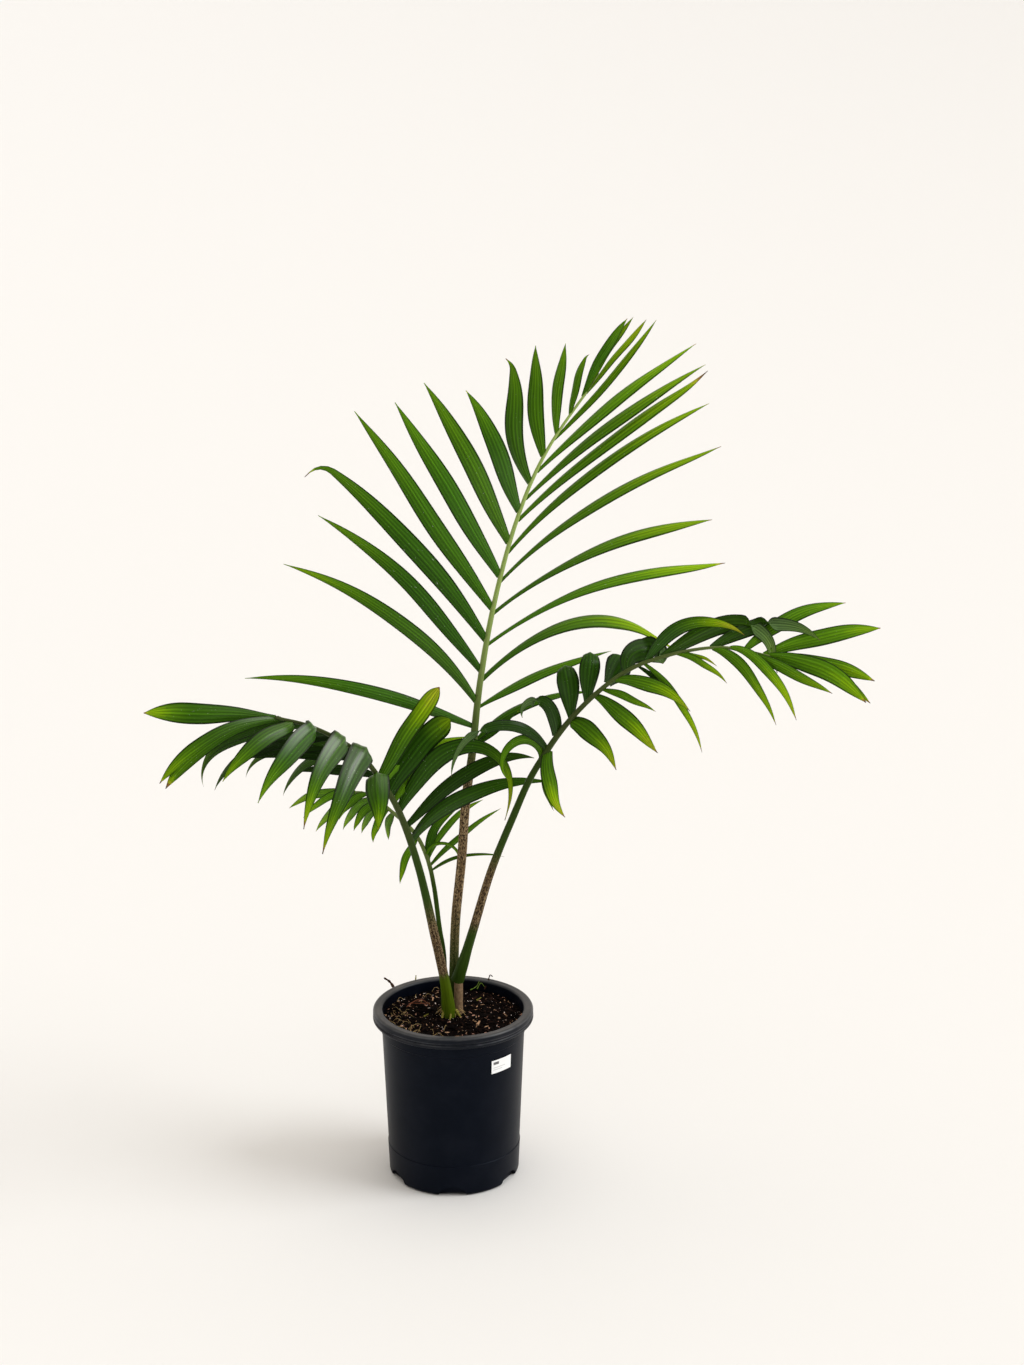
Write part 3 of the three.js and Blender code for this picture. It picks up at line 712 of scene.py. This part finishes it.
# Adds a leaflet's midrib to the points and rows for the blade tree
def growMidrib(root, leaf, points, rows):
    steps = blade["steps"]
    point = np.array(root)
    tangent = leafHeading(leaf, 0)
    across = np.cross(tangent, (0.0, 1.0, 0.0))
    across = unit(across) if across @ across > 1e-4 else np.array([1.0, 0.0, 0.0])
    wavePhase, twistPhase = leafDice.uniform(0, 2 * pi), leafDice.uniform(0, 2 * pi)
    shade = leafDice.uniform(-1, 1)
    tone = leaf["tone"] + leafDice.uniform(-blade["toneSpread"], blade["toneSpread"])
    for i in range(steps + 1):
        share = i / steps
        if i:
            tangent = leafHeading(leaf, (i - 0.5) / steps)
            point = point + tangent * leaf["length"] / steps
            across = unit(across - (across @ tangent) * tangent)
        loose = sin(pi * share)
        twist = blade["twist"] * loose * sin(4.2 * share + twistPhase)
        flipped = leaf["flip"] * smooth(leaf["flipFrom"], leaf["flipTo"], share)
        roll = radians(leaf["roll"] + twist + flipped)
        side = across * cos(roll) + np.cross(tangent, across) * sin(roll)
        wave = blade["waves"] * loose * sin(9 * share + wavePhase)
        opened = 0.35 + 0.65 * (1 - exp(-5 * share))
        points.append(point + side * (wave + leaf["sway"] * sin(6.28 * share)))
        found = {
            "facing": np.cross(side, tangent),
            "halfWidth": leaf["width"] / 2 * bladeShare(share, leaf),
            "along": share,
            "ripe": ripeness(share, tone, leaf),
            # shade: random tone times the painted shade of dim
            "shade": (1 + blade["shadeSpread"] * shade) * (1 - leaf["paintedShade"]),
            "sheen": leaf["sheen"] * (1 - smooth(0.25, 0.7, share)),
            "fold": leaf["fold"] * (2.2 - 1.2 * opened),
        }
        for label, value in found.items():
            rows.setdefault(label, []).append(value)


# Flattened ring along each midrib, folded back and ribbed on both sides of it
def buildBlades(graph, inputs):
    facing = graph.named("facing", "FLOAT_VECTOR")
    halfWidth = graph.named("halfWidth")
    lines = graph.geo("MeshToCurve", {"Mesh": inputs["Geometry"]})
    lines = graph.geo("SetCurveNormal", {"Curve": lines, "Normal": facing}, {"mode": "FREE"})
    place = graph.geo("InputPosition")
    x, y = graph.part(place, "X"), graph.part(place, "Y")
    ring = graph.stored(graph.ring(inputs["sides"]), "across", y)
    ring = graph.stored(ring, "side", -x)
    flat = graph.joined(x * inputs["thickness"], y, 0)
    ring = graph.geo("SetPosition", {"Geometry": ring, "Position": flat})
    mesh = graph.swept(lines, ring, halfWidth)
    out = graph.named("across").size()
    back = graph.named("fold") * (out * out + 0.015).root()
    ribs = inputs["rib"] * (out * 3 * pi).cosine() * (1 - out)
    ripe = graph.named("ripe")
    held = out * out * (ripe * 0.7).atMost(inputs["margin"]) * (3.6 - ripe).clamped()
    mesh = graph.stored(mesh, "ripe", ripe - held)
    offset = graph.scaled(facing, halfWidth * (back - ribs))
    return graph.pushed(mesh, offset, inputs)


bladeTree = makeTree("leafBlades", bladeSizes, buildBlades)


def readNumbers(items, key, kind):
    values = np.zeros(len(items), dtype=kind)
    items.foreach_get(key, values)
    return values


# Deals each face the plain material of its ripeness
def dealTints(mesh):
    ripe = readNumbers(mesh.attributes["ripe"].data, "value", np.float32)
    corners = readNumbers(mesh.loops, "vertex_index", np.int32)
    lowest = np.minimum.reduceat(ripe[corners], readNumbers(mesh.polygons, "loop_start", np.int32))
    bands = np.clip(np.floor(lowest + 0.02), 0, len(leafMaterials) - 1).astype(np.int32)
    mesh.materials.clear()
    for material in leafMaterials:
        mesh.materials.append(material)
    mesh.polygons.foreach_set("material_index", bands)


def makeLeaflets(name, path, nodes):
    points = []
    edges = []
    rows = {}
    for rank in ranks[name]:
        for i in range(len(rank["at"])):
            leaf = {key: rankValue(rank, key, i) for key in {**usual, **rank}}
            edges += chain(len(points), blade["steps"] + 1)
            growMidrib(curvePoint(path, leaf["at"]), leaf, points, rows)
    lines = makeMesh("midribs", points, edges, [], rows)
    piece = grown("leaflets_" + name, lines, bladeTree, {"Material": leafMaterials[0]})
    dealTints(piece.data)
    settle(piece, "leaf", *nodes)


# A tube along a line, with the bark's relief
def buildStalk(graph, inputs):
    line = graph.geo("MeshToCurve", {"Mesh": inputs["Geometry"]})
    ring = graph.stored(graph.ring(inputs["sides"]), "ring", graph.geo("InputPosition"), "FLOAT_VECTOR")
    mesh = graph.swept(line, ring, graph.named("thick"))
    around = graph.named("ring", "FLOAT_VECTOR")
    reach = graph.named("reach")
    streak = graph.barkGrain(around, 3, reach, 30)
    speck = graph.barkGrain(around, 5, reach, 300)
    height = (streak - 0.5) * 1.2 + (speck - 0.5) * graph.named("scurf") * 2.2
    offset = graph.scaled(graph.geo("InputNormal"), height * inputs["relief"])
    return graph.pushed(mesh, offset, inputs)


stalkTree = makeTree("stalkTube", {"sides": 24, "relief": 0.00035}, buildStalk)


def makeStalk(name, stalk):
    rise, full, fade, gone = stalk["scurf"]
    petiole, sheath = stalk["petiole"], stalk["sheath"]
    shares = np.arange(stalkSteps + 1) / stalkSteps
    points = np.array([curvePoint(stalk["path"], share) for share in shares])
    z = points[:, 2]
    brown = smooth(rise, full, z) * (1 - smooth(fade, gone, z))
    rows = {
        "thick": alongRow(stalk["radius"], shares),
        "reach": shares * 0.9,
        "scurf": brown * (1 - smooth(petiole, petiole + 0.1, shares)),
        "fresh": 1 - smooth(sheath - 0.01, sheath + 0.03, z),
        "pale": smooth(petiole - 0.06, petiole + 0.12, shares),
        "lit": alongRow(stalk["lit"], shares),
    }
    line = makeMesh("line", points, chain(0, len(points)), [], rows)
    piece = grown("stalk_" + name, line, stalkTree, {"Material": stalkMaterial})
    settle(piece, "petiole", "petiole_" + name)


for name, stalk in stalks.items():
    for key in ("path", "radius", "scurf", "sheath"):
        stalk[key] = np.array(stalk[key]) / 1000
    makeStalk(name, stalk)
    makeLeaflets(name, stalk["path"], stalk["nodes"])
    print("frond ready:", name)


def wallAt(z):
    return pot["foot"] + (pot["shoulder"] - pot["foot"]) * z / pot["shoulderHeight"]


def arc(centre, radius, start, end, steps):
    angles = [radians(start + (end - start) * i / steps) for i in range(steps + 1)]
    return [(centre[0] + radius * cos(a), centre[1] + radius * sin(a)) for a in angles]


def potOutline():
    outer, shoulder, shoulderHeight = pot["foot"], pot["shoulder"], pot["shoulderHeight"]
    lip, top, wall, step = pot["lip"], pot["height"], pot["wall"], pot["ringStep"]
    low, high = pot["lowerRing"], pot["upperRing"]
    return [
        (0, 0), (outer - 0.006, 0), *arc((outer - 0.0045, 0.0045), 0.0045, -90, 0, 6),
        (wallAt(low - 0.001), low - 0.001), (wallAt(low), low), (wallAt(low) - step, low + 0.0008),
        *((wallAt(z) - step, z) for z in (0.08, 0.12, 0.16, high)),
        (wallAt(high) + step * 0.4, high + 0.001),
        *((wallAt(z) + step * 0.4, z) for z in (high + 0.004, shoulderHeight - 0.001)),
        (shoulder + 0.001, shoulderHeight), *arc((lip - 0.0022, shoulderHeight + 0.0032), 0.0022, -90, -6, 5),
        (lip, 0.2186), (lip - 0.0012, 0.2197), (lip - 0.0013, 0.2212), (lip - 0.0002, 0.2222),
        *arc((lip - 0.0042, top - 0.004), 0.004, 0, 100, 9),
        *arc((shoulder + 0.0008, top - 0.0036), 0.0032, 80, 176, 6),
        (shoulder - wall - 0.0002, shoulderHeight), (wallAt(0.12) - wall, 0.12),
        (wallAt(pot["corner"]) - wall, pot["corner"]),
        (pot["floorRadius"], pot["floor"]), (0, pot["floor"]),
    ]


# A block with the arched outline of a drain notch, at this angle
def makeNotch(angle):
    out = Vector((cos(angle), sin(angle), 0))
    side = Vector((-sin(angle), cos(angle), 0))
    half, top = pot["notchWidth"] / 2, pot["notchTop"] / 2
    rim = [(-half, -0.002), (half, -0.002)]
    for i in range(pot["notchSteps"] + 1):
        turn = pi * i / pot["notchSteps"]
        wide = top + (half - top) * (1 - sin(turn)) ** 3
        rim.append((wide * cos(turn), pot["notchHeight"] * sin(turn) ** 0.42))
    vertices = [out * reach + side * x + Vector((0, 0, z))
                for reach in (pot["foot"] - pot["notchDepth"], pot["foot"] + 0.01) for x, z in rim]
    count = len(rim)
    faces = [range(count), range(2 * count - 1, count - 1, -1)]
    faces += [(i, i + count, (i + 1) % count + count, (i + 1) % count) for i in range(count)]
    mesh = makeMesh("notch", vertices, [], faces)
    mesh.flip_normals()
    return linked("notch", mesh)


def makePot():
    piece = linked("pot_shell", turned("pot_shell", potOutline(), pot["segments"]))
    cutters = [makeNotch(2 * pi * k / pot["notches"] - pi / 2) for k in range(pot["notches"])]
    for cutter in cutters:
        cut = piece.modifiers.new("cut", "BOOLEAN")
        cut.operation = "DIFFERENCE"
        cut.object = cutter
        cut.solver = "EXACT"
    mesh = evaluatedMesh(piece)
    piece.modifiers.clear()
    piece.data = mesh
    for cutter in cutters:
        bpy.data.objects.remove(cutter)
    dress(mesh, potMaterial, 32)
    settle(piece, "pot", "pot")


# Sticker that follows the wall, in degrees from the front towards +X
label = dict(left=33, right=53.4, low=0.1695, height=0.0182, lift=0.0003, thickness=0.0004, columns=24,
             rows=8)


def makeLabel():
    columns, rows = label["columns"], label["rows"]
    wide = columns + 1
    back = wide * (rows + 1)
    across = [k % wide / columns for k in range(2 * back)]
    up = [k % back // wide / rows for k in range(2 * back)]
    vertices = []
    for k, (x, y) in enumerate(zip(across, up)):
        azimuth = radians(label["left"] + (label["right"] - label["left"]) * x)
        z = label["low"] + label["height"] * y
        r = wallAt(z) + label["lift"] + label["thickness"] * (k // back)
        vertices.append((r * sin(azimuth), -r * cos(azimuth), z))
    faces = []
    for corner in (j * wide + i for j in range(rows) for i in range(columns)):
        faces.append([corner + back + k for k in (0, 1, wide + 1, wide)])
        faces.append([corner + k for k in (0, wide, wide + 1, 1)])
    edge = list(range(columns)) + [columns + j * wide for j in range(rows)]
    edge += [rows * wide + i for i in range(columns, 0, -1)] + [j * wide for j in range(rows, 0, -1)]
    faces += [(a, b, b + back, a + back) for a, b in zip(edge, edge[1:] + edge[:1])]
    mesh = makeMesh("label_sticker", vertices, [], faces, {"across": across, "up": up})
    settle(linked("label_sticker", dress(mesh, labelMaterial, 30)), "label", "label")


# Potting mix: a bumpy dome inside the wall, with crumbs, chips and grit on it
soil = dict(
    edge=0.215, top=0.2205, skirt=0.012, rings=46, segments=120, bumps=0.0034, sink=0.0012, inset=0.0004,
    hollows=[(-0.04, 0.004), (0.026, 0.012)], hollowDepth=0.006, hollowWidth=0.011, seed=11, seedStep=17)


def soilHeight(x, y):
    reach = hypot(x, y) / (wallAt(soil["edge"]) - pot["wall"])
    dome = soil["top"] - (soil["top"] - soil["edge"]) * reach**1.6
    coarse = noise.noise((x * 60, y * 60, 3))
    fine = noise.noise((x * 190, y * 190, 7))
    settled = 1 - 0.6 * exp(-(reach / 0.25) ** 2)
    bumps = soil["bumps"] * (coarse * 0.9 + fine * 0.6) * settled
    away = [(x - a) ** 2 + (y - b) ** 2 for a, b in soil["hollows"]]
    hollow = sum(exp(-square / soil["hollowWidth"] ** 2) for square in away)
    return dome + bumps - soil["hollowDepth"] * hollow - soil["sink"]


def makeSoil():
    edge = wallAt(soil["edge"]) - pot["wall"] - soil["inset"]
    outline = [(0, -0.01), (edge - 0.001, -0.009), (edge, -0.004)]
    outline += [(edge * i / soil["rings"], 0.001) for i in range(soil["rings"], -1, -1)]
    mesh = turned("soil_bed", outline, soil["segments"])
    for vertex in mesh.vertices:
        x, y, depth = vertex.co
        vertex.co.z = soilHeight(x, y) if depth > 0 else soil["edge"] - soil["skirt"] + 0.011 + depth
    return settle(linked("soil_bed", dress(mesh, crumbMaterials["darkMix"], 60)), "soil", "soil")


# Crumbs of one kind, scattered over a surface where it faces up
def buildCrumbs(graph, inputs):
    upward = graph.part(graph.geo("InputNormal"), "Z").above(0.3)
    values = {"Mesh": inputs["Geometry"], "Selection": upward, "Density": inputs["density"],
              "Seed": inputs["seed"]}
    points = graph.geo("DistributePointsOnFaces", values, {"distribute_method": "RANDOM"}, "Points")
    crumb = graph.geo("MeshIcoSphere", {"Radius": 1, "Subdivisions": 1})

    def chance(low, high, seed):
        kind, end = ("FLOAT_VECTOR", "") if isinstance(low, tuple) else ("FLOAT", "_001")
        values = {"Min" + end: low, "Max" + end: high, "Seed": inputs["seed"] + seed}
        return graph.node("FunctionNodeRandomValue", {"data_type": kind}, values, "Value" + end)

    turn = chance((-0.4, -0.4, 0), (0.4, 0.4, 6.28), 1)
    size = chance(0, 1, 2)
    size = inputs["smallest"] + (inputs["largest"] - inputs["smallest"]) * size * size
    wide = chance(0.45, 1, 3)
    flat = chance(0.25, 0.75, 4)
    scale = graph.joined(size * inputs["stretch"], size * wide, size * flat)
    values = {"Points": points, "Instance": crumb, "Rotation": turn, "Scale": scale}
    return graph.finished(graph.geo("InstanceOnPoints", values), inputs)


crumbSizes = dict(density=10000.0, smallest=0.001, largest=0.003, stretch=1.0)
crumbTree = makeTree("crumbs", {**crumbSizes, "seed": 1}, buildCrumbs)
crumbKinds = dict(
    soil_crumbs_dark=("darkMix", 80000.0, 0.0009, 0.0042, 1.2),
    soil_crumbs_brown=("brownMix", 34000.0, 0.0006, 0.0022, 3.2),
    soil_chips_tan=("tanBark", 9500.0, 0.0005, 0.0018, 3.2),
    soil_chips_pink=("pinkBark", 7500.0, 0.0005, 0.0017, 2.6),
    soil_grit=("paleGrit", 7500.0, 0.0004, 0.0011, 2.4),
)


def makeCrumbs(bed):
    for k, (name, (kind, *sizes)) in enumerate(crumbKinds.items()):
        values = {"seed": soil["seed"] + soil["seedStep"] * k, "Material": crumbMaterials[kind]}
        values.update(zip(crumbSizes, sizes))
        settle(grown(name, bed.data.copy(), crumbTree, values), "soil")


makePot()
makeLabel()
makeCrumbs(makeSoil())
print("pot and potting mix ready")


# Tubes along short rows of points, each with its own row of radii
def growTubes(name, lines, sides, relief, kind, slotName, *nodes):
    points = []
    edges = []
    rows = {"thick": [], "reach": [], "scurf": []}
    for line, thick in lines:
        edges += chain(len(points), len(line))
        points += line
        rows["thick"] += thick
        rows["reach"] += [0.05 * i for i in range(len(line))]
        rows["scurf"] += [1] * len(line)
    values = {"sides": sides, "relief": relief, "Material": crumbMaterials[kind]}
    settle(grown(name, makeMesh("lines", points, edges, [], rows), stalkTree, values), slotName, *nodes)


# Dried stub of an old leaf base, and fibres round the foot
base = dict(
    stub=[[0.006, 0.003, 0.219], [0.007, 0.003, 0.245], [0.007, 0.003, 0.271]], stubSteps=24,
    stubRadius=0.0058, stubFlare=0.22, heel=(-0.003, 0.003), heelRadius=0.01, fibres=46, fibreTop=0.226,
    fibreFoot=0.2195, fibreRadius=0.0007, fibreSteps=6, seed=23, stubSwell=(1.1, 1.08),
    fibreReach=(0.01, 0.022), fibreBow=0.004, fibreTaper=0.12)


def makeStemBase():
    shares = [i / base["stubSteps"] for i in range(base["stubSteps"] + 1)]
    path = [curvePoint(base["stub"], share) for share in shares]
    flare = base["stubFlare"]
    thick = [base["stubRadius"] * (1 + flare - flare * smooth(0, 0.35, share)) for share in shares]
    thick[-2:] = [radius * swell for radius, swell in zip(thick[-2:], base["stubSwell"])]
    growTubes("stem_base_stub", [(path, thick)], 28, 0.0007, "driedStub", "stem_base", "stem_base")
    dice = random.Random(base["seed"])
    steps = base["fibreSteps"]

    def footPoint(angle, reach, z):
        return Vector((base["heel"][0] + reach * cos(angle), base["heel"][1] + reach * sin(angle), z))

    lines = []
    for _ in range(base["fibres"]):
        angle = dice.uniform(0, 2 * pi)
        end = footPoint(angle, dice.uniform(*base["fibreReach"]), base["fibreFoot"])
        start = footPoint(angle, base["heelRadius"], base["fibreTop"])
        bow = Vector((0, 0, dice.uniform(0, base["fibreBow"])))
        line = [start.lerp(end, t / steps) + bow * sin(pi * t / steps) for t in range(steps + 1)]
        thick = [base["fibreRadius"] * (1 - base["fibreTaper"] * t) for t in range(steps + 1)]
        lines.append((line, thick))
    growTubes("stem_base_fibres", lines, 6, 0.0001, "rootFibre", "stem_base")


# Loose root fibres on the mix, most of them by the left wall
litter = dict(
    fibres=40, side=195, spread=34, steps=8, radius=0.00024, edge=0.0895, above=0.0008, reach=(0.06, 0.086),
    length=(0.006, 0.018), curl=1.3, bow=(0.0008, 0.0045))


def makeLitter():
    dice = random.Random(soil["seed"])
    fibres = []
    steps = litter["steps"]
    for _ in range(litter["fibres"]):
        angle = radians(dice.gauss(litter["side"], litter["spread"]))
        reach = dice.uniform(*litter["reach"])
        x, y = reach * cos(angle), reach * sin(angle)
        direction = dice.uniform(0, 2 * pi)
        length = dice.uniform(*litter["length"])
        curl = dice.uniform(-litter["curl"], litter["curl"])
        bow = dice.uniform(*litter["bow"])
        line = []
        for t in range(steps + 1):
            a = direction + curl * t / steps
            x += length / steps * cos(a)
            y += length / steps * sin(a)
            inside = min(1, litter["edge"] / hypot(x, y))
            x, y = x * inside, y * inside
            line.append((x, y, soilHeight(x, y) + litter["above"] + bow * sin(pi * t / steps)))
        fibres.append((line, [litter["radius"]] * len(line)))
    growTubes("soil_fibres", fibres, 6, 0.00005, "rootFibre", "soil")


# Single bits of each material, in millimetres: radius and line
bits = dict(
    darkTwig=[
        (2.1, [(-78, 68, 220), (-86, 75, 231), (-94.5, 73.5, 238.5)]),
        (1.1, [(40, 80, 219), (45, 87, 229), (47.5, 90, 235.5), (51, 90, 233)]),
    ],
    greenSprout=[
        (0.7, [(21, 78, 219), (29, 80, 223), (33, 82, 230)]),
        (0.6, [(30, 79, 220), (35, 83, 227), (40, 82, 222)]),
    ],
    youngScale=[
        (1.1, [(-53, 90.5, 227.5), (-52.5, 93, 234)]),
        (1.2, [(30, 44, 218.5), (36, 47, 221.5)]),
        (1.1, [(-38, -8, 218.5), (-32, -6, 221.5)]),
        (2.5, [(-10, -10, 233), (-12.5, -13.5, 226), (-14.5, -17, 218.5)]),
        (2.2, [(3, -10, 229), (7, -12, 224), (10.5, -13.5, 218.5)]),
        (1.6, [(-3, -14, 228), (-3, -18, 223), (-4, -22, 218.5)]),
    ],
    tanBark=[(1.9, [(32, -36, 219), (35, -30, 222)])],
    redFibre=[
        (0.6, [(-62, 22, 219), (-50, 30, 224), (-36, 28, 219)]),
        (0.6, [(-56, 34, 219), (-46, 24, 223), (-33, 34, 219)]),
        (0.5, [(-60, 28, 220), (-44, 33, 225), (-30, 24, 219)]),
    ],
)
bitSteps = 10


def makeBits():
    for kind, found in bits.items():
        lines = []
        for radius, path in found:
            line = [curvePoint(np.array(path) / 1000, t / bitSteps) for t in range(bitSteps + 1)]
            knobs = [(1 + 0.3 * sin(2.3 * t)) * (1 - 0.05 * t) for t in range(bitSteps + 1)]
            lines.append((line, [radius / 1000 * knob for knob in knobs]))
        growTubes("soil_" + kind, lines, 8, 0.0002, kind, "soil")


makeStemBase()
makeLitter()
makeBits()
print("stem base and litter ready")
